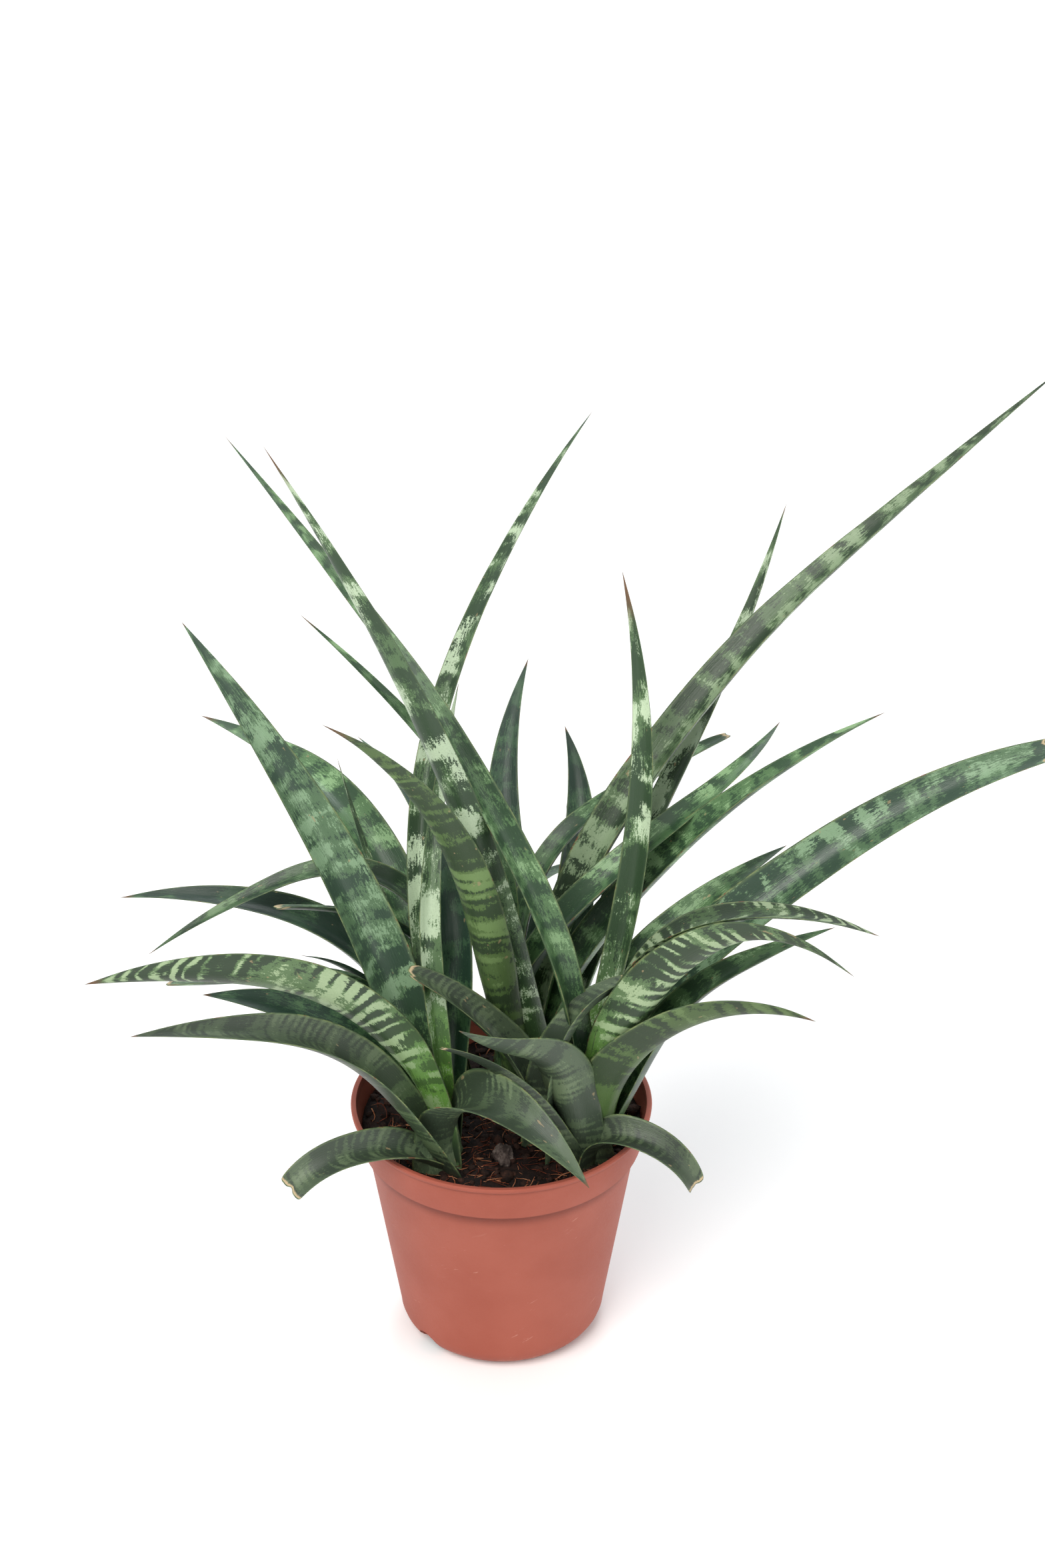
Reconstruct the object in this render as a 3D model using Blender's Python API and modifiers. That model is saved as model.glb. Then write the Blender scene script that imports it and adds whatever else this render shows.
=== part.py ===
import math

import bpy
import bmesh
from mathutils import Vector

MM = 0.001

# Pot, from the top down. Radii are of the outside.
POT_HEIGHT = 105 * MM
RIM_RADIUS = 60 * MM
LIP_HEIGHT = 2 * MM
LIP_OVERHANG = 1.2 * MM
BAND_HEIGHT = 17.5 * MM
BAND_STEP = 1.6 * MM
TAPER = 0.155            # how much the radius shrinks per unit of height
FOOT_CORNER = 10 * MM    # height and depth of the rounded bottom corner
WALL = 1.2 * MM
FLOOR = 1.5 * MM
POT_STEPS = 48
DRAIN_HOLES = 6
DRAIN_RADIUS = 3.5 * MM
DRAIN_RING = 24 * MM
FOOT_NOTCHES = 2
NOTCH_RADIUS = 6 * MM

# Soil, clear of the pot all round.
GAP = 0.3 * MM
SOIL_TOP = 95.6 * MM
SOIL_DISH = 1.6 * MM
SOIL_STEPS = 40

# Leaves.
LEAF_START = 96.5 * MM
BASE_WIDTH = 5 * MM
RINGS = 12
CHANNEL_BASE = 0.8       # how far the edges rise, as a share of half the width
CHANNEL_TIP = 0.35
THICK_BASE = 2.2 * MM
THICK_TIP = 0.9 * MM

# Rosette centres, seen from above: x to the right, y to the back (mm).
ROSETTES = {
    "front_left": (-22, -20),
    "front_right": (31, -18),
    "back_left": (-20, 18),
    "back_right": (10, 22),
}

# One row for each leaf. Angles are in degrees, lengths in mm. Headings are measured from +X
# towards +Y at the base, the middle and the tip. Tilts are the rise above the horizon at the
# base, one third, two thirds and the tip. The roll turns the face about the leaf's own line.
#   ring bearing  headings          tilts              roll  length width blunt
LEAVES = {
    "front_left": [
        ("dark_leaf", 6, 158, (141, 148, 152), (81, 65, 54, 49), (-25, -30), 232, 21, 0),
        ("banded_leaf", 0, 90, (138, 88, 69), (89, 73, 50, 55), (10, 10), 189, 9, 0),
        ("banded_leaf", 8, 98, (125, 70, 60), (82, 60, 27, 20), (-5, -5), 334, 10, 0),
        ("dark_leaf", 12, 79, (72, 102, 134), (81, 66, 23, 14), (0, 0), 183, 12, 0),
        ("banded_leaf", 7, -106, (-174, -166, -162), (87, 54, 17, -2), (50, 100), 188, 20, 0),
        ("dark_leaf", 12, 137, (-176, -172, -170), (79, 52, 28, 9), (-35, -35), 119, 15, 0),
        ("dark_leaf", 11, -100, (-163, -155, -153), (65, 54, 21, 11), (-20, -20), 161, 17, 0),
        ("old_leaf", 12, -112, (-148, -154, -156), (45, 21, -4, -49), (-20, -20), 67, 14, 0.6),
        ("old_leaf", 12, -72, (-55, -44, -34), (112, 39, -12, -44), (15, 15), 102, 18, 0),
    ],
    "front_right": [
        ("dark_leaf", 6, -173, (164, 134, 126), (103, 60, 30, 20), (-15, -15), 344, 14, 0),
        ("banded_leaf", 8, 130, (28, 73, 125), (67, 68, 69, 68), (-10, -10), 229, 12, 0),
        ("banded_leaf", 6, -25, (-36, -37, -40), (83, 67, 42, -20), (-30, -45), 193, 20, 0),
        ("dark_leaf", 6, 41, (-28, -33, -31), (79, 76, 31, -5), (10, 10), 202, 14, 0),
        ("dark_leaf", 11, 17, (8, -10, -24), (66, 66, 39, 34), (20, 20), 143, 15, 0),
        ("old_leaf", 10, -35, (-45, -8, -16), (90, 61, 26, -11), (-25, -50), 128, 20, 0),
        ("old_leaf", 12, -64, (-26, -23, -21), (94, 12, -24, -67), (20, 20), 57, 13, 0.45),
        ("old_leaf", 11, -85, (-142, -144, -159), (75, 79, 28, 43), (15, 15), 103, 17, 0),
        ("old_leaf", 12, 152, (151, 193, 197), (70, 60, 50, 37), (-25, -25), 101, 15, 0.25),
        ("old_leaf", 12, -100, (-166, -167, -165), (61, 60, 45, 23), (30, 30), 84, 10, 0.2),
        ("old_leaf", 12, -173, (56, 40, 9), (88, 84, 52, 10), (-20, -20), 84, 13, 0.45),
        ("banded_leaf", 12, 84, (26, 15, 10), (69, 39, 31, 11), (20, 35), 247, 20, 0.25),
        ("dark_leaf", 10, 105, (40, 26, 43), (70, 66, 26, 3), (10, 25), 154, 14, 0),
    ],
    "back_left": [
        ("dark_leaf", 11, 108, (117, 126, 128), (75, 42, -3, -10), (-10, -10), 235, 18, 0),
        ("dark_leaf", 9, -121, (142, 131, 123), (75, 67, 60, 61), (10, 10), 147, 5, 0),
        ("dark_leaf", 0, 165, (145, 177, 206), (87, 81, -18, -26), (-15, -15), 204, 12, 0),
        ("dark_leaf", 7, 128, (173, 180, 177), (70, 56, 15, -9), (-20, -20), 169, 15, 0),
        ("dark_leaf", 12, 65, (175, 205, 221), (74, 79, 28, 21), (15, 15), 143, 7, 0.5),
        ("dark_leaf", 10, 173, (-158, -149, -141), (68, 70, 51, 26), (25, 25), 103, 8, 0),
        ("dark_leaf", 11, -158, (-135, -145, -171), (70, 68, 9, 5), (10, 10), 156, 7, 0.7),
    ],
    "back_right": [
        ("banded_leaf", 12, -58, (-137, -167, -193), (79, 75, 67, 59), (15, 15), 312, 12, 0),
        ("dark_leaf", 12, -167, (173, 169, 161), (94, 91, 51, 37), (-25, -25), 234, 9, 0),
        ("old_leaf", 10, -107, (-123, -122, -124), (73, 75, 54, 39), (15, 15), 264, 17, 0),
        ("dark_leaf", 12, 55, (129, 99, 59), (76, 51, 49, 52), (10, 10), 174, 11, 0),
        ("dark_leaf", 12, 21, (68, 80, 110), (66, 58, 46, 33), (-10, -10), 149, 13, 0),
        ("dark_leaf", 10, 4, (72, 82, 97), (67, 60, 59, 55), (0, 0), 116, 3, 0),
        ("dark_leaf", 12, 101, (99, 85, 45), (75, 34, -3, -20), (10, 10), 127, 6, 0.5),
        ("dark_leaf", 8, 95, (101, 86, 93), (76, 38, 7, -22), (0, 0), 130, 3, 0),
        ("dark_leaf", 12, 158, (144, 140, 136), (90, 92, 88, 70), (20, 20), 146, 4, 0),
        ("banded_leaf", 2, 50, (39, 26, -3), (85, 51, 40, 46), (5, 5), 366, 18, 0),
        ("banded_leaf", 6, 44, (16, -1, -36), (80, 54, 46, 39), (15, 15), 230, 15, 0),
        ("dark_leaf", 3, -92, (-22, 19, 68), (107, 57, 22, 1), (10, 10), 216, 13, 0),
        ("dark_leaf", 12, 128, (63, 38, 25), (85, 78, 16, 15), (0, 0), 188, 11, 0.3),
        ("banded_leaf", 10, -21, (45, 38, 51), (66, 59, 56, 64), (0, 0), 255, 12, 0),
    ],
}

COLOURS = {
    "pot": (0.49, 0.14, 0.10),
    "soil": (0.035, 0.018, 0.012),
    "dark_leaf": (0.022, 0.070, 0.030),
    "banded_leaf": (0.10, 0.21, 0.09),
    "old_leaf": (0.055, 0.095, 0.052),
}


def material(name, roughness):
    mat = bpy.data.materials.new(name)
    mat.use_nodes = True
    shader = mat.node_tree.nodes["Principled BSDF"]
    shader.inputs["Base Color"].default_value = (*COLOURS[name.rsplit(".", 1)[0]], 1)
    shader.inputs["Roughness"].default_value = roughness
    shader.inputs["Metallic"].default_value = 0
    return mat


def new_object(name, mesh, collection, colour, roughness=0.5):
    obj = bpy.data.objects.new(name, mesh)
    collection.objects.link(obj)
    if colour:
        obj.data.materials.append(material(colour, roughness))
    return obj


def profile_object(name, points, collection, colour, steps, roughness):
    """A turned body: the outline (radius, height) is spun about Z by a Screw modifier."""
    bm = bmesh.new()
    verts = [bm.verts.new((radius, 0, height)) for radius, height in points]
    for a, b in zip(verts, verts[1:]):
        bm.edges.new((a, b))
    mesh = bpy.data.meshes.new(name)
    bm.to_mesh(mesh)
    bm.free()
    obj = new_object(name, mesh, collection, colour, roughness)
    spin = obj.modifiers.new("spin", "SCREW")
    spin.steps = spin.render_steps = steps
    spin.use_merge_vertices = True
    spin.merge_threshold = 0.00005
    return obj


def outer_radius(height):
    """Outside of the tapered wall below the band."""
    return RIM_RADIUS - LIP_OVERHANG - BAND_STEP - TAPER * (POT_HEIGHT - height)


def corner(radius, top, depth, steps=5):
    """Rounded corner from the wall at `top` down to the floor, as (radius, height)."""
    points = []
    for i in range(steps + 1):
        turn = math.radians(90 * i / steps)
        points.append((radius - depth * (1 - math.cos(turn)), top - depth * math.sin(turn)))
    return points


def pot_outline():
    band_top = POT_HEIGHT - LIP_HEIGHT
    band_bottom = band_top - BAND_HEIGHT + LIP_HEIGHT
    face = RIM_RADIUS - LIP_OVERHANG
    foot = FOOT_CORNER
    inner_foot = foot - WALL
    outside = [
        (RIM_RADIUS - WALL * 0.6, POT_HEIGHT),
        (RIM_RADIUS, POT_HEIGHT - WALL * 0.5),
        (RIM_RADIUS - 0.2 * MM, band_top),
        (face, band_top - 0.6 * MM),
        (face - TAPER * BAND_HEIGHT, band_bottom + 0.8 * MM),
        (outer_radius(band_bottom), band_bottom - 0.4 * MM),
    ]
    outside += corner(outer_radius(foot), foot, foot)
    inside = [(0, FLOOR)]
    inside += reversed([(r, h + FLOOR) for r, h in corner(outer_radius(foot) - WALL, inner_foot,
                                                          inner_foot)])
    inside += [
        (outer_radius(band_bottom) - WALL, band_bottom - 0.4 * MM),
        (face - TAPER * BAND_HEIGHT - WALL, band_bottom + 1.4 * MM),
        (face - WALL, band_top),
        (RIM_RADIUS - WALL * 1.6, POT_HEIGHT),
    ]
    return outside, inside


def make_pot(collection, cutters):
    outside, inside = pot_outline()
    points = outside + [(0, 0)] + inside + [outside[0]]
    pot = profile_object("pot", points, collection, "pot", POT_STEPS, 0.45)
    for i in range(DRAIN_HOLES):
        turn = math.tau * (i + 0.5) / DRAIN_HOLES
        place = Vector((DRAIN_RING * math.cos(turn), DRAIN_RING * math.sin(turn), 0))
        cut(pot, f"drain_cutter_{i + 1}", place, Vector((0, 0, 1)), DRAIN_RADIUS, 8 * MM,
            cutters)
    foot = FOOT_CORNER
    for i in range(FOOT_NOTCHES):
        turn = math.radians(222 + 360 * i / FOOT_NOTCHES)
        out = Vector((math.cos(turn), math.sin(turn), 0))
        place = out * (outer_radius(foot) - foot * 0.3) + Vector((0, 0, foot * 0.3))
        cut(pot, f"notch_cutter_{i + 1}", place, (out + Vector((0, 0, -1))).normalized(),
            NOTCH_RADIUS, 9 * MM, cutters)
    return pot


def cut(target, name, place, axis, radius, length, cutters):
    """Cut a round hole, with its cutter kept in its own collection."""
    bm = bmesh.new()
    bmesh.ops.create_cone(bm, cap_ends=True, segments=16, radius1=radius, radius2=radius,
                          depth=length)
    turn = Vector((0, 0, 1)).rotation_difference(axis).to_matrix()
    for vert in bm.verts:
        vert.co = turn @ vert.co + place
    mesh = bpy.data.meshes.new(name)
    bm.to_mesh(mesh)
    bm.free()
    cutter = new_object(name, mesh, cutters, None)
    cutter.hide_render = True
    cutter.display_type = "WIRE"
    hole = target.modifiers.new(name, "BOOLEAN")
    hole.object = cutter
    hole.solver = "EXACT"


def make_soil(collection):
    """Soil fills the pot and stays clear of its wall; its top is slightly dished and lumpy."""
    _, inside = pot_outline()
    band = inside[-4:-2]
    points = [(0, FLOOR + GAP)]
    points += [(max(0, r - GAP), h + GAP) for r, h in inside[1:-4]]
    points += [(r - GAP, h) for r, h in band]
    edge = inside[-3][0] - GAP + TAPER * (SOIL_TOP - inside[-3][1])
    points.append((edge, SOIL_TOP - SOIL_DISH))
    for share in (0.85, 0.6, 0.3, 0):
        points.append((edge * share, SOIL_TOP - SOIL_DISH * share ** 3))
    points.reverse()
    soil = profile_object("soil", points, collection, "soil", SOIL_STEPS, 0.95)
    return soil


# Across a leaf, from one edge over the top and back underneath: (place, side).
SECTION = ((-1, 0), (-0.5, 1), (0, 1), (0.5, 1), (1, 0), (0.5, -1), (0, -1), (-0.5, -1))


def along(values, share):
    """Value at a share of the way along evenly spaced control values."""
    place = share * (len(values) - 1)
    low = min(int(place), len(values) - 2)
    return values[low] + (values[low + 1] - values[low]) * (place - low)


def half_width(share, width, blunt):
    rise = min(share / 0.3, 1)
    rise = rise * rise * (3 - 2 * rise)
    full = BASE_WIDTH + (width - BASE_WIDTH) * rise
    fall = max(share - 0.35, 0) / 0.65 * (1 - blunt)
    return full * (1 - fall ** 1.9) / 2


def leaf_frames(start, headings, tilts, roll, length):
    """Points along the leaf's line with its side and face directions."""
    steps = 60
    frames = []
    place = Vector(start)
    for i in range(steps + 1):
        share = i / steps
        heading = math.radians(along(headings, share))
        tilt = math.radians(along(tilts, share))
        turn = math.radians(along(roll, share))
        side = Vector((-math.sin(heading), math.cos(heading), 0))
        face = Vector((-math.sin(tilt) * math.cos(heading), -math.sin(tilt) * math.sin(heading),
                       math.cos(tilt)))
        frames.append((share, place.copy(), side * math.cos(turn) + face * math.sin(turn),
                       face * math.cos(turn) - side * math.sin(turn)))
        share += 0.5 / steps
        heading = math.radians(along(headings, min(share, 1)))
        tilt = math.radians(along(tilts, min(share, 1)))
        place += Vector((math.cos(tilt) * math.cos(heading), math.cos(tilt) * math.sin(heading),
                         math.sin(tilt))) * (length / steps)
    return frames


def make_leaf(name, centre, row, collection, colour):
    """A leaf is lofted: a channelled crescent that narrows from its base to its tip."""
    ring, bearing, headings, tilts, roll, length, width, blunt = row
    start = (centre[0] * MM + ring * MM * math.cos(math.radians(bearing)),
             centre[1] * MM + ring * MM * math.sin(math.radians(bearing)), LEAF_START)
    frames = leaf_frames(start, headings, tilts, roll, length * MM)
    bm = bmesh.new()
    loops = []
    stations = [round((len(frames) - 1) * i / RINGS) for i in range(RINGS)]
    if blunt:
        stations.append(len(frames) - 1)
    for station in stations:
        share, place, side, face = frames[station]
        half = half_width(share, width * MM, blunt)
        thick = THICK_BASE + (THICK_TIP - THICK_BASE) * share
        channel = CHANNEL_BASE + (CHANNEL_TIP - CHANNEL_BASE) * share
        loop = []
        for across, top in SECTION:
            rise = channel * half * across ** 2 + top * thick / 2 * (1 - across ** 2)
            loop.append(bm.verts.new(place + side * (across * half) + face * rise))
        loops.append(loop)
    for low, high in zip(loops, loops[1:]):
        for j in range(8):
            k = (j + 1) % 8
            bm.faces.new((low[j], low[k], high[k], high[j]))
    bm.faces.new(list(reversed(loops[0])))
    if blunt:
        bm.faces.new(loops[-1])
    else:
        point = bm.verts.new(frames[-1][1])
        for j in range(8):
            bm.faces.new((loops[-1][j], loops[-1][(j + 1) % 8], point))
    bmesh.ops.triangulate(bm, faces=bm.faces)
    bmesh.ops.recalc_face_normals(bm, faces=bm.faces)
    mesh = bpy.data.meshes.new(name)
    bm.to_mesh(mesh)
    bm.free()
    return new_object(name, mesh, collection, colour, 0.4)


def main():
    for obj in list(bpy.data.objects):
        bpy.data.objects.remove(obj)
    plant = bpy.data.collections.new("potted_snake_plant")
    cutters = bpy.data.collections.new("cutters")
    for collection in (plant, cutters):
        bpy.context.scene.collection.children.link(collection)
    make_pot(plant, cutters)
    make_soil(plant)
    for side, rows in LEAVES.items():
        for number, row in enumerate(rows, 1):
            make_leaf(f"{side}_leaf_{number}", ROSETTES[side], row[1:], plant, row[0])


main()
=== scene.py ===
import math
import random

import bmesh
import bpy
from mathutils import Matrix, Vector, noise


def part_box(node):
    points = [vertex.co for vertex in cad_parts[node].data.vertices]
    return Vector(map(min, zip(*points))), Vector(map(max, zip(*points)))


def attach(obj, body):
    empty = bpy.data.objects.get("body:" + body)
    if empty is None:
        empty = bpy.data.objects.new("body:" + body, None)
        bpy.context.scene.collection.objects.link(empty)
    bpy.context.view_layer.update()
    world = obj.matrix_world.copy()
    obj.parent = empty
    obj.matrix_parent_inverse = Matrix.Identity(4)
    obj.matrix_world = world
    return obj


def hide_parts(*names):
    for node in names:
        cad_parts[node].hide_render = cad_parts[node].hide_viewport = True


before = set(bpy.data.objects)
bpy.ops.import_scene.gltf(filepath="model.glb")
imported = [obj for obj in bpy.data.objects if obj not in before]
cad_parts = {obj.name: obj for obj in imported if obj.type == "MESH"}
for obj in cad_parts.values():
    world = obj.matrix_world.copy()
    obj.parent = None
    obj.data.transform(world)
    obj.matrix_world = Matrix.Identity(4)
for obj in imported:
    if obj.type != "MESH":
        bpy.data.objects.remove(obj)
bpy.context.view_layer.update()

mm = 0.001


# Shader maths: arithmetic on a Signal adds Math nodes.


def rgb(code, light=1.0):
    parts = [int(code[i:i + 2], 16) / 255 for i in (1, 3, 5)]
    parts = [c / 12.92 if c < 0.04045 else ((c + 0.055) / 1.055) ** 2.4 for c in parts]
    return tuple(min(c * light, 1) for c in parts) + (1,)


class Signal:
    def __init__(self, sheet, socket):
        self.sheet, self.socket = sheet, socket

    def maths(self, operation, *values):
        return self.sheet.add("ShaderNodeMath", {"operation": operation}, dict(enumerate(values)))

    def __add__(self, other):
        return self.maths("ADD", self, other)

    def __radd__(self, other):
        return self.maths("ADD", other, self)

    def __sub__(self, other):
        return self.maths("SUBTRACT", self, other)

    def __rsub__(self, other):
        return self.maths("SUBTRACT", other, self)

    def __mul__(self, other):
        return self.maths("MULTIPLY", self, other)

    def __rmul__(self, other):
        return self.maths("MULTIPLY", other, self)

    def __pow__(self, other):
        return self.maths("POWER", self, other)

    def abs(self):
        return self.maths("ABSOLUTE", self)

    def sin(self):
        return self.maths("SINE", self)

    def step(self, low, high):      # 0 below low, 1 above high, smooth between
        return self.sheet.add("ShaderNodeMapRange", {"interpolation_type": "SMOOTHSTEP"},
                              {"Value": self, "From Min": low, "From Max": high})


class Sheet:
    def __init__(self, owner, shader="Principled BSDF"):
        owner.use_nodes = True
        self.owner = owner
        self.nodes = owner.node_tree.nodes
        self.links = owner.node_tree.links
        self.shader = self.nodes[shader]

    def add(self, kind, settings, inputs, output=0):
        node = self.nodes.new(kind)
        for name, value in settings.items():
            setattr(node, name, value)
        for name, value in inputs.items():
            self.put(node.inputs[name], value)
        return Signal(self, node.outputs[output])

    def put(self, socket, value):
        if isinstance(value, Signal):
            self.links.new(value.socket, socket)
        else:
            socket.default_value = value

    def mix(self, factor, low, high):
        return self.add("ShaderNodeMix", {"data_type": "RGBA"}, {0: factor, 6: low, 7: high}, 2)

    def noise(self, place, scale, detail=2.0, rough=0.5):
        return self.add("ShaderNodeTexNoise", {}, {"Vector": place, "Scale": scale, "Detail": detail,
                                                   "Roughness": rough})

    def place(self, x, y, z=0.0):
        return self.add("ShaderNodeCombineXYZ", {}, {0: x, 1: y, 2: z})

    def bump(self, height, strength, distance):
        return self.add("ShaderNodeBump", {}, {"Height": height, "Strength": strength,
                                               "Distance": distance})

    def finish(self, **sockets):
        for name, value in sockets.items():
            self.put(self.shader.inputs[name.replace("_", " ")], value)
        return self.owner


def newSheet(name):
    return Sheet(bpy.data.materials.new(name))


# What each kind of leaf face looks like. Spacings are in mm along the leaf, bend is how many mm a
# band runs on at the leaf's edges, rag is how ragged a band's edge is, and green and white say how
# much of the face is mid green and pale.
leafKinds = {
    "bold": dict(dark="#2b4029", mid="#55704a", pale="#b4c6a8", spacing=15, green=0.5, white=0.5,
                 rag=0.5, bend=2, ribs=0.0, ribSpacing=6, gloss=0.34),
    "ribbed": dict(dark="#293c26", mid="#506c43", pale="#a8bc96", spacing=12, green=0.5, white=0.5,
                   rag=0.45, bend=4, ribs=0.12, ribSpacing=5.5, gloss=0.42),
    "chevron": dict(dark="#2b3c28", mid="#5a754c", pale="#9cb089", spacing=14, green=0.52, white=0.44,
                    rag=0.42, bend=5, ribs=0.19, ribSpacing=6, gloss=0.4),
    "flecked": dict(dark="#33492f", mid="#668458", pale="#a6be96", spacing=9, green=0.5, white=0.42,
                    rag=0.62, bend=1, ribs=0.0, ribSpacing=8, gloss=0.32),
    "sheened": dict(dark="#34493a", mid="#5a7756", pale="#829f7e", spacing=9, green=0.52, white=0.42,
                    rag=0.6, bend=1, ribs=0.0, ribSpacing=8, gloss=0.26),
    "mottled": dict(dark="#2c452e", mid="#52724a", pale="#7f9f73", spacing=11, green=0.5, white=0.3,
                    rag=0.6, bend=2, ribs=0.03, ribSpacing=8, gloss=0.3),
    "olive": dict(dark="#2f4228", mid="#56703e", pale="#6f8a54", spacing=11, green=0.54, white=0.24,
                  rag=0.4, bend=4, ribs=0.1, ribSpacing=7, gloss=0.42),
    "dark": dict(dark="#20362a", mid="#36523a", pale="#4e6c4a", spacing=13, green=0.4, white=0.2,
                 rag=0.5, bend=1, ribs=0.0, ribSpacing=8, gloss=0.28),
    "dull": dict(dark="#323e30", mid="#485840", pale="#5c6c50", spacing=11, green=0.5, white=0.3,
                 rag=0.4, bend=3, ribs=0.08, ribSpacing=3.2, gloss=0.38),
}

# Each leaf: the kind of its upper face and of its under face, the mm of dry tip, how fresh the green
# at its base is, how light it is, how much broader it is than its CAD node at its base and at its
# tip, and how many more degrees it rolls at its base and further on.
leafLooks = {
    "front_left_leaf_1": ("sheened", "sheened", 3, 0.2, 1.0, 1.0, 1.0, (0, 0)),
    "front_left_leaf_2": ("bold", "bold", 4, 1.0, 1.05, 1.0, 1.0, (0, 0)),
    "front_left_leaf_3": ("bold", "bold", 5, 0.2, 1.1, 1.0, 1.0, (0, 0)),
    "front_left_leaf_4": ("dark", "dark", 3, 0.1, 1.5, 1.1, 1.1, (0, 0)),
    "front_left_leaf_5": ("chevron", "chevron", 6, 0.7, 1.05, 0.8, 1.1, (-45, 0)),
    # This leaf's lightness of 1.6 is partly its own tone and partly painted sheen: its dark faces are
    # lifted to stand in for the gloss along its channel.
    "front_left_leaf_6": ("dark", "dark", 3, 0.2, 1.6, 1.3, 1.3, (0, 0)),
    "front_left_leaf_7": ("dull", "dull", 3, 0.1, 0.9, 1.15, 1.1, (0, 0)),
    "front_left_leaf_8": ("dull", "dull", 1.2, 0.0, 1.1, 1.1, 1.1, (0, 0)),
    "front_left_leaf_9": ("dull", "dull", 3, 0.0, 1.25, 1.55, 1.0, (0, 0)),
    "front_right_leaf_1": ("mottled", "mottled", 8, 0, 1.0, 1.05, 0.6, (0, 0)),
    "front_right_leaf_2": ("bold", "bold", 16, 1.0, 1.25, 1.0, 1.0, (0, 0)),
    "front_right_leaf_3": ("chevron", "chevron", 4, 1.0, 1.1, 1.0, 1.35, (0, 0)),
    "front_right_leaf_4": ("ribbed", "ribbed", 4, 0.3, 0.75, 1.3, 1.2, (0, 0)),
    "front_right_leaf_5": ("dark", "mottled", 3, 0.1, 1.0, 1.0, 1.0, (0, 0)),
    "front_right_leaf_6": ("olive", "olive", 5, 0.1, 0.68, 1.2, 1.2, (0, 0)),
    "front_right_leaf_7": ("dull", "dull", 1.2, 0.0, 0.8, 1.1, 1.1, (0, 0)),
    "front_right_leaf_8": ("dull", "dull", 2, 0.0, 1.15, 1.25, 1.3, (0, 30)),
    "front_right_leaf_9": ("dull", "dull", 2, 0.0, 1.0, 1.1, 1.1, (0, 0)),
    "front_right_leaf_10": ("dull", "dull", 2, 0.0, 0.8, 1.0, 1.0, (0, 0)),
    "front_right_leaf_11": ("dull", "dull", 1.5, 0.0, 1.1, 1.5, 1.4, (0, 0)),
    "front_right_leaf_12": ("sheened", "sheened", 2, 0.2, 1.04, 1.1, 1.1, (0, 0)),
    "front_right_leaf_13": ("mottled", "mottled", 2, 0.2, 0.9, 1.15, 1.1, (0, 0)),
    "back_left_leaf_1": ("sheened", "mottled", 10, 0.1, 1.25, 1.1, 1.0, (0, 0)),
    "back_left_leaf_2": ("bold", "bold", 6, 0.4, 1.3, 1.0, 1.0, (0, 0)),
    "back_left_leaf_3": ("mottled", "mottled", 4, 0.1, 0.7, 1.0, 1.0, (0, 0)),
    "back_left_leaf_4": ("dark", "dark", 5, 0.1, 1.0, 1.2, 1.1, (0, 0)),
    "back_left_leaf_5": ("dark", "mottled", 4, 0.1, 1.0, 1.0, 1.0, (0, 0)),
    "back_left_leaf_6": ("dark", "dark", 3, 0.1, 0.8, 1.0, 1.0, (0, 0)),
    "back_left_leaf_7": ("mottled", "mottled", 2, 0.1, 1.0, 1.0, 1.0, (0, 0)),
    "back_right_leaf_1": ("bold", "bold", 14, 0.2, 1.1, 1.15, 1.15, (0, 45)),
    "back_right_leaf_2": ("mottled", "mottled", 8, 0.1, 1.0, 1.0, 1.0, (0, 0)),
    "back_right_leaf_3": ("olive", "olive", 16, 0.1, 1.05, 1.0, 1.0, (0, 0)),
    "back_right_leaf_4": ("dark", "dark", 4, 0.1, 1.4, 1.6, 1.6, (0, 0)),
    "back_right_leaf_5": ("dark", "dark", 3, 0.1, 1.0, 1.4, 1.4, (0, 0)),
    "back_right_leaf_6": ("dark", "dark", 3, 0.1, 1.0, 1.0, 1.0, (0, 0)),
    "back_right_leaf_7": ("dark", "mottled", 2, 0.0, 1.0, 1.0, 1.0, (0, 0)),
    "back_right_leaf_8": ("mottled", "mottled", 2, 1.0, 1.0, 1.0, 1.0, (0, 0)),
    "back_right_leaf_9": ("dark", "dark", 4, 0.1, 1.0, 1.0, 1.0, (0, 0)),
    "back_right_leaf_10": ("flecked", "flecked", 6, 0.2, 0.68, 1.0, 1.0, (0, 0)),
    "back_right_leaf_11": ("mottled", "mottled", 7, 0.1, 1.25, 1.15, 1.1, (0, 0)),
    "back_right_leaf_12": ("dark", "mottled", 5, 0.1, 1.15, 1.15, 1.1, (0, 0)),
    "back_right_leaf_13": ("dark", "mottled", 2, 0.1, 1.0, 1.0, 1.0, (0, 0)),
    "back_right_leaf_14": ("bold", "bold", 6, 0.1, 1.0, 1.0, 1.0, (0, 0)),
}

# How far a leaf's upper part leans to the front and up from its CAD node.
forward = Vector((0, -0.87, 0.5))
leafForward = {"front_right_leaf_11": 18 * mm}

# Shares of a leaf are of its length, from its foot: foot is the share over which its base is broad
# and rolls, and leanFrom and leanTo are where a leaf that leans forward starts and ends its lean.
leafBuild = dict(across=8, rowLength=5 * mm, thickness=2.4 * mm, edgeShare=0.22, tipShare=0.4,
                 baseSpread=0.9, foot=0.3, sink=6 * mm, wave=0.35 * mm, channel=1.25,
                 brokenFrom=0.93, leanFrom=0.25, leanTo=0.6)
ringCorners = 8     # corners of a cross-section of a leaf's CAD node


def neighbours(verts):
    return {v: {e.other_vert(v) for e in v.link_edges} for v in verts}


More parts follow.
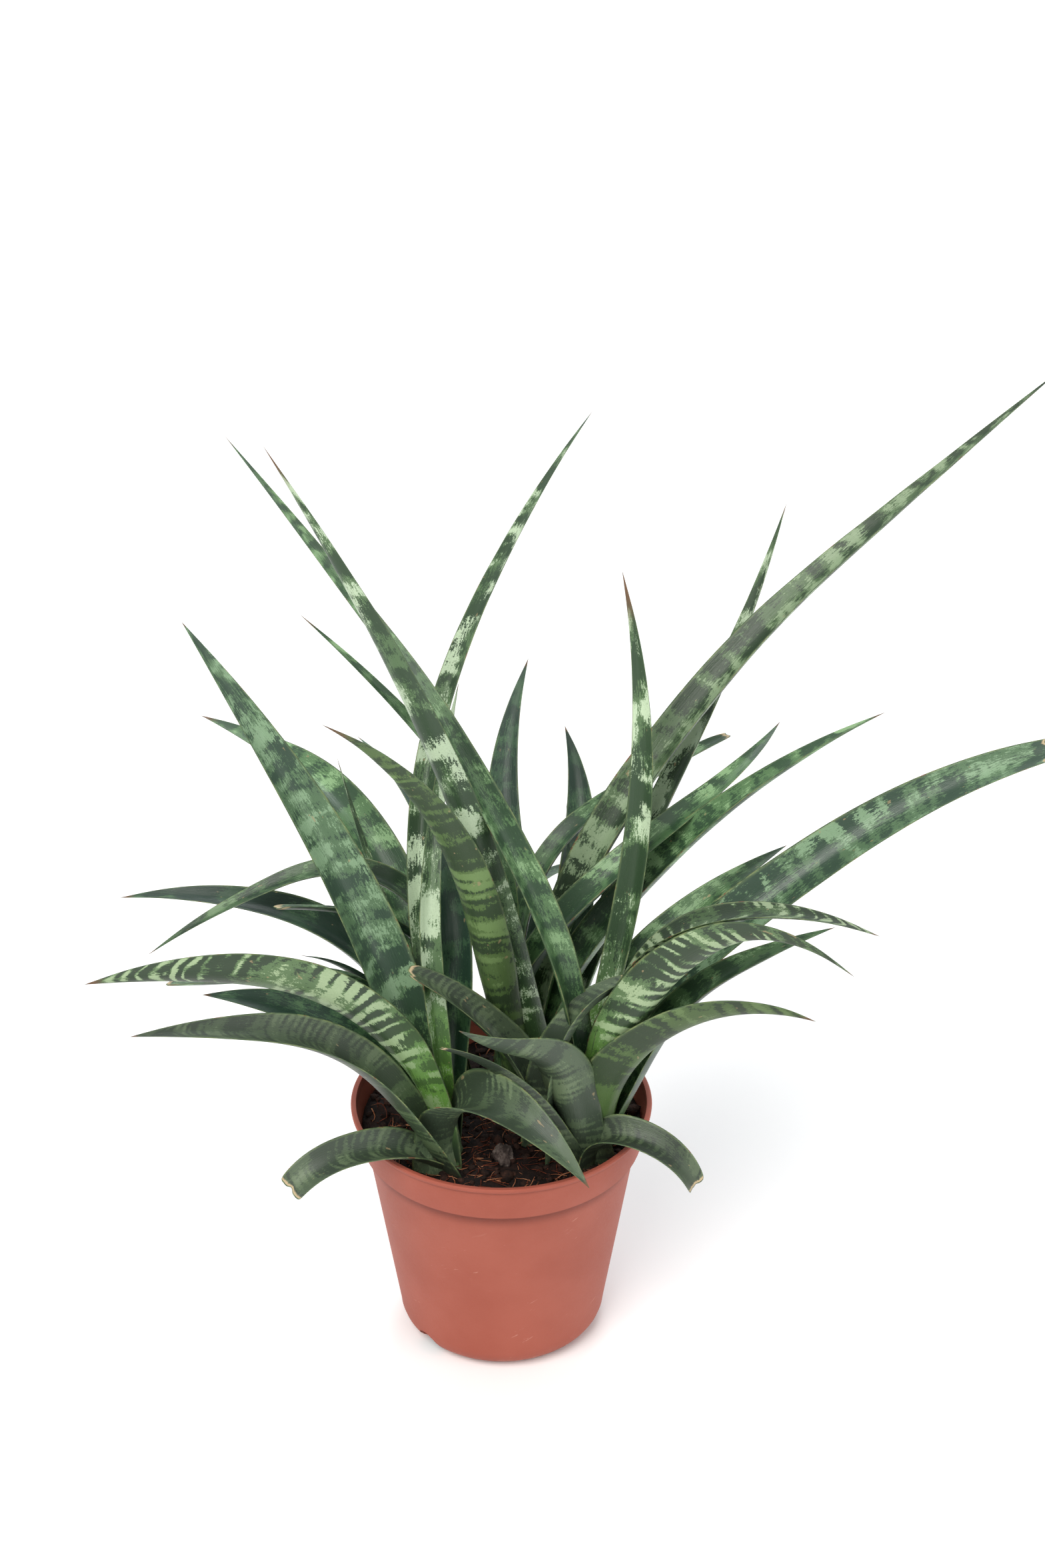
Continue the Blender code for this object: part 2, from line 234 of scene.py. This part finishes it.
def capOf(bm):      # the flat end of a leaf that stands in the soil
    flat = math.cos(math.radians(0.3))
    groups, seen = [], set()
    for face in bm.faces:
        if face in seen:
            continue
        group, queue = [], [face]
        seen.add(face)
        while queue:
            here = queue.pop()
            group.append(here)
            for edge in here.edges:
                for other in edge.link_faces:
                    if other not in seen and other.normal.dot(face.normal) > flat:
                        seen.add(other)
                        queue.append(other)
        corners = {v for f in group for v in f.verts}
        if len(corners) == ringCorners and len(group) == ringCorners - 2:
            groups.append(corners)

    def reach(corners):
        middle = sum((v.co for v in corners), Vector()) / ringCorners
        return middle.z + math.hypot(middle.x, middle.y)
    return min(groups, key=reach)


def ringsOf(node):
    bm = bmesh.new()
    bm.from_mesh(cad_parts[node].data)
    bmesh.ops.remove_doubles(bm, verts=bm.verts, dist=0.00002)
    bm.normal_update()
    near = neighbours(bm.verts)
    ring, seen, rings = capOf(bm), set(), []
    while ring:
        seen |= ring
        rings.append([v.co.copy() for v in ring])
        ring = {n for v in ring for n in near[v]} - seen
    bm.free()
    return rings


def framesOf(node):     # spine point, side, face, half width and channel depth at each ring
    rings = ringsOf(node)
    centres = [sum(ring, Vector()) / len(ring) for ring in rings]
    frames = []
    for i, ring in enumerate(rings):
        if len(ring) < ringCorners:
            last = frames[-1]
            frames.append((ring[0], last[1], last[2], 0.0, 0.0))
            continue
        ahead = centres[min(i + 1, len(rings) - 1)] - centres[max(i - 1, 0)]
        ahead.normalize()
        left, right = max(((a, b) for a in ring for b in ring), key=lambda p: (p[0] - p[1]).length)
        chord = (left + right) / 2
        inner = [p for p in ring if p is not left and p is not right]
        side = (right - left).normalized()
        face = chord - sum(inner, Vector()) / len(inner)
        face = (face - side * face.dot(side) - ahead * face.dot(ahead)).normalized()
        if side.cross(face).dot(ahead) < 0:
            side = -side
        middle = sorted(inner, key=lambda p: abs((p - chord).dot(side)))[:2]
        spine = (middle[0] + middle[1]) / 2
        frames.append((spine, side, face, (right - left).length / 2, (chord - spine).dot(face)))
    return frames


def blendFrames(frames, share):
    place = share * (len(frames) - 1)
    i = min(int(place), len(frames) - 2)
    t = place - i
    a, b, c, d = (frames[max(i - 1, 0)], frames[i], frames[i + 1],
                  frames[min(i + 2, len(frames) - 1)])

    def curve(k):
        return b[k] + 0.5 * t * (c[k] - a[k] + t * (2 * a[k] - 5 * b[k] + 4 * c[k] - d[k]
                                                    + t * (3 * (b[k] - c[k]) + d[k] - a[k])))
    side = (b[1] * (1 - t) + c[1] * t).normalized()
    face = (b[2] * (1 - t) + c[2] * t).normalized()
    return curve(0), side, face, max(curve(3), 0.0), curve(4)


def select(obj):
    bpy.ops.object.select_all(action="DESELECT")
    obj.select_set(True)
    bpy.context.view_layer.objects.active = obj


def applyAll(obj):
    select(obj)
    for modifier in list(obj.modifiers):
        bpy.ops.object.modifier_apply(modifier=modifier.name)


def keep(obj, node):
    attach(obj, "root")
    if node:
        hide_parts(node)


def lengthOf(frames):
    return sum((b[0] - a[0]).length for a, b in zip(frames, frames[1:]))


def leafFace(name, kind, length, width, tip, fresh, light, blunt, seed):
    sheet = newSheet(name)
    uv = sheet.add("ShaderNodeUVMap", {"uv_map": "UVMap"}, {})
    x = sheet.add("ShaderNodeSeparateXYZ", {}, {0: uv}, 0)
    s = sheet.add("ShaderNodeSeparateXYZ", {}, {0: uv}, 1)
    across = (x - 0.5) * width          # mm
    along = s * length                  # mm
    edge = ((x - 0.5) * 2).abs()
    streaks = sheet.noise(sheet.place(across * 1.4, along * 0.26, seed), 1.0, 4.0, 0.65)
    specks = sheet.noise(sheet.place(across * 2.4, along * 1.3, seed + 3), 1.0, 3.0, 0.7)
    curved = along + edge ** 2 * kind["bend"]
    bands = sheet.noise(sheet.place(across * 0.05, curved * (1 / kind["spacing"]), seed + 7),
                        1.0, 2.0, 0.55)
    slow = sheet.noise(sheet.place(across * 0.1, along * 0.03, seed + 9), 1.0, 1.0)
    level = bands + (streaks - 0.5) * kind["rag"] + (specks - 0.5) * 0.36
    if kind["ribs"]:
        ribs = (curved * (math.tau / kind["ribSpacing"]) + bands * 14 + streaks * 3).sin()
        level = level + ribs * slow.step(0.38, 0.56) * kind["ribs"]
    threshold = 0.66 - 0.34 * kind["green"]
    green = level.step(threshold - 0.012, threshold + 0.02)
    bright = level + (slow - 0.5) * 0.5
    threshold = 0.73 - 0.34 * kind["white"]
    pale = bright.step(threshold - 0.01, threshold + 0.02)
    colour = sheet.mix(green * (0.55 + slow * 0.7), rgb(kind["dark"], light), rgb(kind["mid"], light))
    colour = sheet.mix(pale * (specks * 0.6 + 0.55), colour, rgb(kind["pale"], light))
    if fresh:
        young = (1 - along.step(28, 76)) * along.step(5, 18) * fresh * (0.4 + green * 0.55)
        young = young * (1 - pale * 0.4)
        colour = sheet.mix(young, colour, rgb("#6da040"))
    colour = sheet.mix(edge.step(0.9, 0.99) * (streaks * 0.5), colour, rgb("#7f9160"))
    dry = (along + (streaks - 0.5) * tip * 1.6).step(length - tip * 1.5, length - tip * 0.6)
    colour = sheet.mix(dry, colour, rgb("#b9a582" if blunt else "#6b503a"))
    scars = sheet.noise(sheet.place(across * 0.5, along * 0.22, seed + 11), 1.0, 2.0).step(0.72, 0.76)
    colour = sheet.mix(scars * 0.6, colour, rgb("#a08c68"))
    grain = sheet.noise(sheet.place(across * 3.2, along * 0.1, seed + 5), 1.0, 2.0, 0.6)
    relief = grain * 0.6 + pale * 0.15 + specks * 0.25
    return sheet.finish(Base_Color=colour, Roughness=kind["gloss"] + dry * 0.3 + specks * 0.12,
                        Specular_IOR_Level=0.5, Normal=sheet.bump(relief, 0.35, 0.0006))


def marginMaterial():
    sheet = newSheet("leafMargin")
    place = sheet.add("ShaderNodeTexCoord", {}, {}, 3)
    wear = sheet.noise(place, 160.0, 3.0, 0.6)
    colour = sheet.mix(wear.step(0.45, 0.6), rgb("#43583a"), rgb("#6f7d50"))
    colour = sheet.mix(wear.step(0.62, 0.68), colour, rgb("#6e4830"))
    return sheet.finish(Base_Color=colour, Roughness=0.6)


margin = marginMaterial()


def makeLeaf(node, number):
    upper, under, tip, fresh, light, broadBase, broadTip, (rollBase, rollOn) = leafLooks[node]
    frames = framesOf(node)
    length = lengthOf(frames)
    width = 2 * max(f[3] for f in frames)
    blunt = frames[-1][3] > 0
    rows = max(14, round(length / leafBuild["rowLength"]))
    columns = leafBuild["across"]
    bpy.ops.mesh.primitive_grid_add(x_subdivisions=columns, y_subdivisions=rows, size=1)
    leaf = bpy.context.object
    leaf.name = leaf.data.name = "".join(w.capitalize() for w in node.split("_"))
    thin = leaf.vertex_groups.new(name="thickness")
    for vert in leaf.data.vertices:
        v, s = vert.co.x * 2, vert.co.y + 0.5
        end = s
        if blunt:       # a broken end is ragged
            ragged = 0.9 * noise.noise(Vector((v * 2.3, number, 0))) + 0.3 * v * v
            end = s - max(0, s - leafBuild["brokenFrom"]) * ragged
        spine, side, face, half, depth = blendFrames(frames, min(max(end, 0), 1))
        spread = leafBuild["baseSpread"] * width / 2
        early = max(0.0, 1 - s / leafBuild["foot"])
        wide = half + max(0.0, spread - half) * early ** 0.5
        wide *= broadBase + (broadTip - broadBase) * s
        deep = leafBuild["channel"] * depth * wide / half if half > 0 else 0
        turn = math.radians(rollBase + (rollOn - rollBase) * min(1, s / leafBuild["foot"]))
        side, face = (side * math.cos(turn) + face * math.sin(turn),
                      face * math.cos(turn) - side * math.sin(turn))
        wobble = leafBuild["wave"] * min(1, wide / (4 * mm))
        ripple = noise.noise(Vector((s * length * 45, v * 1.5, number * 3.7))) * wobble
        place = spine + side * (v * wide) + face * (deep * abs(v) ** 1.8 + ripple * abs(v))
        lean = (s - leafBuild["leanFrom"]) / (leafBuild["leanTo"] - leafBuild["leanFrom"])
        place = place + forward * (leafForward.get(node, 0) * min(1, max(0, lean)))
        if s < 0.02:
            place = place - (blendFrames(frames, 0.05)[0] - spine).normalized() * leafBuild["sink"]
        vert.co = place
        thick = leafBuild["edgeShare"] + (1 - leafBuild["edgeShare"]) * (1 - v * v) ** 0.8
        thick *= 1 + (leafBuild["tipShare"] - 1) * s
        thick *= min(1, 0.12 + wide / (4.5 * mm))
        thin.add([vert.index], thick, "REPLACE")
    for index, (kind, side) in enumerate(((upper, "Upper"), (under, "Under"))):
        leaf.data.materials.append(leafFace(leaf.name + side, leafKinds[kind], length / mm,
                                            width / mm, tip, fresh, light, blunt,
                                            number * 5.3 + index * 41))     # a pattern of its own
    leaf.data.materials.append(margin)
    solid = leaf.modifiers.new("solid", "SOLIDIFY")
    solid.thickness = leafBuild["thickness"]
    solid.offset = 0
    solid.vertex_group = "thickness"
    solid.material_offset = 1
    solid.material_offset_rim = 2
    smooth = leaf.modifiers.new("smooth", "SUBSURF")
    smooth.levels = smooth.render_levels = 1
    applyAll(leaf)
    bpy.ops.object.shade_smooth()
    keep(leaf, node)
    return leaf


for number, node in enumerate(leafLooks, 1):
    makeLeaf(node, number)
print("leaves done", len(leafLooks))


potBuild = dict(segments=128, wall=1.2 * mm, lip=2 * mm, overhang=1.2 * mm, band=17.5 * mm,
                step=2.2 * mm, taper=0.155, corner=10 * mm, floor=1.5 * mm, holes=6,
                holeRadius=3.5 * mm, holeRing=24 * mm, notches=2, notchRadius=6 * mm,
                notchTurn=222)


def potOutline():
    low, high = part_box("pot")
    rim, tall, p = high.x, high.z, potBuild
    face = rim - p["overhang"]
    bandFoot = tall - p["band"]

    def wall(z):
        return face - p["step"] - p["taper"] * (tall - z)

    def corner(radius, top, size):
        turns = [math.radians(90 * i / 7) for i in range(8)]
        return [(radius - size * (1 - math.cos(t)), top - size * math.sin(t)) for t in turns]

    outside = [(rim - p["wall"] * 0.8, tall), (rim - 0.35 * mm, tall - 0.15 * mm),
               (rim, tall - 0.7 * mm), (rim - 0.1 * mm, tall - p["lip"] + 0.3 * mm),
               (rim - 0.5 * mm, tall - p["lip"] - 0.3 * mm), (face, tall - p["lip"] - 0.8 * mm)]
    bandRadius = face - p["taper"] * (p["band"] - p["lip"])
    outside += [(bandRadius, bandFoot + 1.4 * mm), (bandRadius - 0.25 * mm, bandFoot + 0.7 * mm),
                (wall(bandFoot) + 0.3 * mm, bandFoot - 0.2 * mm), (wall(bandFoot), bandFoot - 0.8 * mm)]
    outside += corner(wall(p["corner"]), p["corner"], p["corner"])
    small = p["corner"] - p["wall"]
    inside = [(r, z + p["floor"]) for r, z in reversed(corner(wall(p["corner"]) - p["wall"], small,
                                                              small))]
    inside += [(wall(bandFoot) - p["wall"], bandFoot - 0.4 * mm),
               (bandRadius - p["wall"], bandFoot + 1.2 * mm), (face - p["wall"], tall - p["lip"]),
               (rim - p["wall"] * 1.7, tall - 0.3 * mm)]
    return outside, inside


def spinOutline(name, points, segments):
    radius, height = points[0]
    bpy.ops.mesh.primitive_circle_add(vertices=segments, radius=radius, location=(0, 0, height))
    body = bpy.context.object
    body.name = body.data.name = name
    bpy.ops.object.transform_apply(location=True, rotation=True, scale=True)
    bpy.ops.object.mode_set(mode="EDIT")
    bpy.ops.mesh.select_mode(type="EDGE")
    bpy.ops.mesh.select_all(action="SELECT")
    for r, z in points[1:]:
        bpy.ops.mesh.extrude_region_move(TRANSFORM_OT_translate={"value": (0, 0, z - height)})
        bpy.ops.transform.resize(value=(r / radius, r / radius, 1), center_override=(0, 0, z))
        radius, height = r, z
    return body


def cutter(radius, depth, place, axis):
    bpy.ops.mesh.primitive_cylinder_add(vertices=24, radius=radius, depth=depth)
    tool = bpy.context.object
    turn = Vector((0, 0, 1)).rotation_difference(axis).to_matrix()
    for vert in tool.data.vertices:
        vert.co = turn @ vert.co + place
    return tool


def potMaterial():
    sheet = newSheet("terracottaPlastic")
    place = sheet.add("ShaderNodeTexCoord", {}, {}, 3)
    x = sheet.add("ShaderNodeSeparateXYZ", {}, {0: place}, 0)
    y = sheet.add("ShaderNodeSeparateXYZ", {}, {0: place}, 1)
    z = sheet.add("ShaderNodeSeparateXYZ", {}, {0: place}, 2)
    cloud = sheet.noise(place, 28.0, 3.0, 0.55)
    grain = sheet.noise(place, 900.0, 2.0, 0.5)
    colour = sheet.mix(cloud.step(0.3, 0.7), rgb("#994f3f"), rgb("#a15747"))
    scuffs = sheet.noise(sheet.place(x * 60 + z * 90, y * 60, z * 420 - x * 260), 1.0, 3.0, 0.7)
    scuffs = scuffs.step(0.66, 0.71) * sheet.noise(place, 30.0, 1.0).step(0.46, 0.56)
    colour = sheet.mix(scuffs * 0.55, colour, rgb("#c08a7a"))
    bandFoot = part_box("pot")[1].z - potBuild["band"]
    # Painted shade: the wall is darkened at the band's foot step, fading out over 7 mm below it, where
    # shade falls under the band.
    paintedShadeBelowBand = z.step(bandFoot - 7 * mm, bandFoot - 0.6 * mm)
    paintedShadeBelowBand = paintedShadeBelowBand * (1 - z.step(bandFoot + 0.6 * mm, bandFoot + 1.4 * mm))
    colour = sheet.mix(paintedShadeBelowBand * 0.75, colour, rgb("#6a3025"))
    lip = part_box("pot")[1].z - potBuild["lip"]
    # Painted shade: a faint dark ring just under the rim's lip, where shade falls under its overhang.
    under = z.step(lip - 2.2 * mm, lip - 0.6 * mm) * (1 - z.step(lip - 0.2 * mm, lip + 0.6 * mm))
    colour = sheet.mix(under * 0.35, colour, rgb("#6f3428"))
    foot = (1 - z.step(2 * mm, 6 * mm)) * sheet.noise(place, 260.0, 3.0, 0.7).step(0.5, 0.62)
    colour = sheet.mix(foot * 0.5, colour, rgb("#c49484"))
    return sheet.finish(Base_Color=colour, Roughness=0.5 + grain * 0.14 + scuffs * 0.2,
                        Specular_IOR_Level=0.22,
                        Normal=sheet.bump(grain + scuffs * 0.4, 0.12, 0.0003))


def makePot():
    outside, inside = potOutline()
    pot = spinOutline("NurseryPot", outside, potBuild["segments"])
    bpy.ops.mesh.edge_face_add()        # the underside
    bpy.ops.mesh.select_all(action="DESELECT")
    bpy.ops.object.mode_set(mode="OBJECT")
    inner = spinOutline("inner", inside, potBuild["segments"])
    bpy.ops.mesh.select_all(action="DESELECT")
    bpy.ops.object.mode_set(mode="OBJECT")
    bm = bmesh.new()
    bm.from_mesh(inner.data)
    floorEdges = [e for e in bm.edges if e.is_boundary and e.verts[0].co.z < 0.02
                  and e.verts[1].co.z < 0.02]
    bmesh.ops.contextual_create(bm, geom=floorEdges)
    bm.to_mesh(inner.data)
    bm.free()
    select(pot)
    inner.select_set(True)
    bpy.ops.object.join()
    bpy.ops.object.mode_set(mode="EDIT")
    bpy.ops.mesh.select_mode(type="EDGE")
    bpy.ops.mesh.select_all(action="DESELECT")
    bpy.ops.mesh.select_non_manifold()
    bpy.ops.mesh.bridge_edge_loops()        # the top of the rim
    bpy.ops.mesh.select_all(action="SELECT")
    bpy.ops.mesh.normals_make_consistent(inside=False)
    bpy.ops.object.mode_set(mode="OBJECT")
    corner, tools = potBuild["corner"], []
    for i in range(potBuild["holes"]):
        turn = math.tau * (i + 0.5) / potBuild["holes"]
        ring = potBuild["holeRing"]
        tools.append(cutter(potBuild["holeRadius"], 8 * mm,
                            Vector((ring * math.cos(turn), ring * math.sin(turn), 0)),
                            Vector((0, 0, 1))))
    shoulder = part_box("pot")[1].x - potBuild["overhang"] - potBuild["step"]
    shoulder -= potBuild["taper"] * (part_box("pot")[1].z - corner)
    for i in range(potBuild["notches"]):
        turn = math.radians(potBuild["notchTurn"] + 360 * i / potBuild["notches"])
        out = Vector((math.cos(turn), math.sin(turn), 0))
        tools.append(cutter(potBuild["notchRadius"], 9 * mm,
                            out * (shoulder - corner * 0.3) + Vector((0, 0, corner * 0.3)),
                            (out - Vector((0, 0, 1))).normalized()))
    for tool in tools:
        hole = pot.modifiers.new("hole", "BOOLEAN")
        hole.object = tool
        hole.solver = "EXACT"
    applyAll(pot)
    for tool in tools:
        bpy.data.objects.remove(tool)
    select(pot)
    bpy.ops.object.shade_smooth_by_angle(angle=math.radians(35))
    pot.data.materials.clear()
    pot.data.materials.append(potMaterial())
    keep(pot, "pot")
    return pot


makePot()
print("pot done")


soilBuild = dict(seed=11, rough=2.6 * mm, crumbs=620, fibres=820, cells=6, lumpRadius=5 * mm,
                 lumpX=1 * mm, lumpY=-27 * mm)


def soilMaterial(name, dark, light, scale):
    sheet = newSheet(name)
    place = sheet.add("ShaderNodeTexCoord", {}, {}, 3)
    cloud = sheet.noise(place, scale, 5.0, 0.7)
    crumbs = sheet.noise(place, scale * 6, 4.0, 0.7)
    colour = sheet.mix(cloud.step(0.4, 0.7) * 0.7 + crumbs.step(0.5, 0.75) * 0.3, rgb(dark), rgb(light))
    return sheet.finish(Base_Color=colour, Roughness=0.85, Specular_IOR_Level=0.25,
                        Normal=sheet.bump(cloud * 0.6 + crumbs * 0.4, 0.8, 0.0015))


def soilHeight(x, y, top):
    here = Vector((x * 90, y * 90, 2.0))
    lumps = noise.fractal(here, 0.9, 2.2, 4)
    return top + soilBuild["rough"] * lumps


def makeSoil():
    low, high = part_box("soil")
    top = high.z - 1.2 * mm
    radius = high.x - 0.1 * mm
    bpy.ops.mesh.primitive_cylinder_add(vertices=96, radius=radius, depth=6 * mm,
                                        location=(0, 0, top - 3 * mm), end_fill_type="NGON")
    soil = bpy.context.object
    soil.name = soil.data.name = "PeatSoil"
    bpy.ops.object.transform_apply(location=True, rotation=True, scale=True)
    bpy.ops.object.mode_set(mode="EDIT")
    bpy.ops.mesh.select_all(action="DESELECT")
    bpy.ops.object.mode_set(mode="OBJECT")
    for face in soil.data.polygons:
        face.select = face.normal.z > 0.9
    bpy.ops.object.mode_set(mode="EDIT")
    bpy.ops.mesh.select_mode(type="FACE")
    for i in range(26):
        bpy.ops.mesh.inset(thickness=radius / 27.5, depth=0)
    bpy.ops.mesh.poke()
    bpy.ops.object.mode_set(mode="OBJECT")
    for vert in soil.data.vertices:
        if vert.co.z > top - mm:
            vert.co.z = soilHeight(vert.co.x, vert.co.y, top)
    bpy.ops.object.shade_smooth()
    soil.data.materials.append(soilMaterial("peat", "#120b09", "#35211a", 170.0))
    keep(soil, "soil")
    return top, radius


def meshPiece(name, bm, material):
    mesh = bpy.data.meshes.new(name)
    bm.to_mesh(mesh)
    bm.free()
    piece = bpy.data.objects.new(name, mesh)
    bpy.context.collection.objects.link(piece)
    mesh.materials.append(material)
    for face in mesh.polygons:
        face.use_smooth = True
    keep(piece, None)
    return piece


def makeCrumbs(top, radius, draw):
    bm = bmesh.new()
    for i in range(soilBuild["crumbs"]):
        size = draw.uniform(0.5, 1.9) * mm * (1.7 if draw.random() < 0.1 else 1)
        reach = (radius - 2.5 * mm) * math.sqrt(draw.random())
        turn = draw.uniform(0, math.tau)
        x, y = reach * math.cos(turn), reach * math.sin(turn)
        made = bmesh.ops.create_icosphere(bm, subdivisions=1, radius=size)
        flat = draw.uniform(0.45, 0.9)
        long = draw.uniform(0.8, 1.7)
        spin = draw.uniform(0, math.tau)
        for vert in made["verts"]:
            lump = 1 + 0.35 * noise.noise(vert.co * 900 + Vector((i, 0, 0)))
            p = vert.co * lump
            p = Vector((p.x * long, p.y, p.z * flat))
            p = Vector((p.x * math.cos(spin) - p.y * math.sin(spin),
                        p.x * math.sin(spin) + p.y * math.cos(spin), p.z))
            vert.co = p + Vector((x, y, soilHeight(x, y, top) + size * flat * 0.3))
    meshPiece("PeatCrumbs", bm, soilMaterial("peatCrumbs", "#1b110d", "#4d3126", 260.0))


def makeLump(top):
    bpy.ops.mesh.primitive_ico_sphere_add(subdivisions=4, radius=soilBuild["lumpRadius"])
    lump = bpy.context.object
    lump.name = lump.data.name = "PeatLump"
    x, y = soilBuild["lumpX"], soilBuild["lumpY"]
    base = soilHeight(x, y, top) + 2.2 * mm
    for vert in lump.data.vertices:
        p = vert.co.copy()
        p *= 1 + 0.5 * noise.fractal(p * 220, 0.8, 2.1, 4)
        vert.co = Vector((p.x * 0.8 + x, p.y * 0.9 + y, p.z * 0.8 + base))
    bpy.ops.object.shade_smooth()
    lump.data.materials.append(soilMaterial("greyPeat", "#3b302c", "#93857c", 330.0))
    keep(lump, None)


def fibrePath(draw, x, y, base, length):
    heading, tilt = draw.uniform(0, math.tau), draw.uniform(-0.1, 0.5)
    bend, points = draw.uniform(-1.4, 1.4), []
    place = Vector((x, y, base))
    steps = soilBuild["cells"]
    for k in range(steps + 1):
        points.append(place.copy())
        heading += bend / steps + draw.uniform(-0.25, 0.25)
        tilt -= 0.28
        place += Vector((math.cos(heading) * math.cos(tilt), math.sin(heading) * math.cos(tilt),
                         math.sin(tilt))) * length / steps
        place.z = max(place.z, base - 0.4 * mm)
    return points


def addTube(bm, points, radius):
    rings = []
    for k, point in enumerate(points):
        ahead = points[min(k + 1, len(points) - 1)] - points[max(k - 1, 0)]
        ahead.normalize()
        side = ahead.cross(Vector((0.03, 0.05, 1))).normalized()
        up = side.cross(ahead)
        size = radius * (1 - 0.6 * k / (len(points) - 1))
        rings.append([bm.verts.new(point + side * size * math.cos(t) + up * size * math.sin(t))
                      for t in (0, math.tau / 3, math.tau * 2 / 3)])
    for low, high in zip(rings, rings[1:]):
        for j in range(3):
            bm.faces.new((low[j], low[(j + 1) % 3], high[(j + 1) % 3], high[j]))
    bm.faces.new(list(reversed(rings[0])))
    bm.faces.new(rings[-1])


def makeFibres(top, radius, draw):
    groups = {"CoirDark": ("#562616", "#8f4a31", 0.58), "CoirPale": ("#a4603f", "#d9a37c", 0.42)}
    for name, (dark, light, share) in groups.items():
        bm = bmesh.new()
        for i in range(round(soilBuild["fibres"] * share)):
            reach = (radius - 3 * mm) * math.sqrt(draw.random())
            turn = draw.uniform(0, math.tau)
            x, y = reach * math.cos(turn), reach * math.sin(turn)
            length = draw.uniform(6, 24) * mm
            path = fibrePath(draw, x, y, soilHeight(x, y, top) + 0.4 * mm, length)
            path = [p for p in path if math.hypot(p.x, p.y) < radius - mm]
            if len(path) > 2:
                addTube(bm, path, draw.uniform(0.12, 0.3) * mm)
        meshPiece(name, bm, soilMaterial(name[0].lower() + name[1:], dark, light, 300.0))


soilTop, soilRadius = makeSoil()
draw = random.Random(soilBuild["seed"])
makeCrumbs(soilTop, soilRadius, draw)
makeFibres(soilTop, soilRadius, draw)
makeLump(soilTop)
print("soil done")


# Each light has its name, its place, its strength, its angle in degrees and its colour.
studio = dict(
    lens=70, elevation=29.7, distance=1.143, aim=(0.0084, 0, 0.2491),
    front=(0.4, 0.4, 0.4, 1), behind=(1.0, 1.04, 1.08, 1),
    lights=(
        ("key", (-0.7, -1.1, 1.7), 2.6, 40, (1.0, 0.98, 0.95)),
        ("fill", (1.3, -0.9, 0.9), 0.9, 50, (1.0, 1.0, 1.0)),
        ("back", (0.2, 1.2, 1.3), 0.8, 24, (0.95, 0.98, 1.0)),
    ),
)


def makeStudio():
    bpy.ops.mesh.primitive_plane_add(size=12, location=(0, 0, 0))
    floor = bpy.context.object
    floor.name = "studioFloor"
    sheet = newSheet("paleFloor")
    place = sheet.add("ShaderNodeTexCoord", {}, {}, 3)
    tone = sheet.noise(place, 3.0, 2.0)
    floor.data.materials.append(sheet.finish(
        Base_Color=sheet.mix(tone, rgb("#f4f4f4"), rgb("#fbfbfb")), Roughness=0.8))
    sky = Sheet(bpy.data.worlds.new("studio"), "Background")
    place = sky.add("ShaderNodeTexCoord", {}, {}, 0)
    behind = sky.add("ShaderNodeSeparateXYZ", {}, {0: place}, 1).step(-0.2, 0.75)
    bpy.context.scene.world = sky.finish(Color=sky.mix(behind, studio["front"], studio["behind"]))
    bpy.context.scene.view_settings.view_transform = "Standard"
    for name, place, strength, angle, colour in studio["lights"]:
        light = bpy.data.lights.new(name, "SUN")
        light.energy, light.angle, light.color = strength, math.radians(angle), colour
        lamp = bpy.data.objects.new(name, light)
        lamp.location = place
        lamp.rotation_euler = (Vector((0, 0, 0.15)) - Vector(place)).to_track_quat("-Z", "Y").to_euler()
        bpy.context.scene.collection.objects.link(lamp)
    camera = bpy.data.objects.new("camera", bpy.data.cameras.new("camera"))
    camera.data.lens = studio["lens"]
    tilt = math.radians(studio["elevation"])
    ahead = Vector((0, math.cos(tilt), -math.sin(tilt)))
    camera.location = Vector(studio["aim"]) - ahead * studio["distance"]
    camera.rotation_euler = (math.pi / 2 - tilt, 0, 0)
    bpy.context.scene.collection.objects.link(camera)
    bpy.context.scene.camera = camera


makeStudio()


def corners(box):
    return [[float(c) for c in corner] for corner in box]


print("studio done")
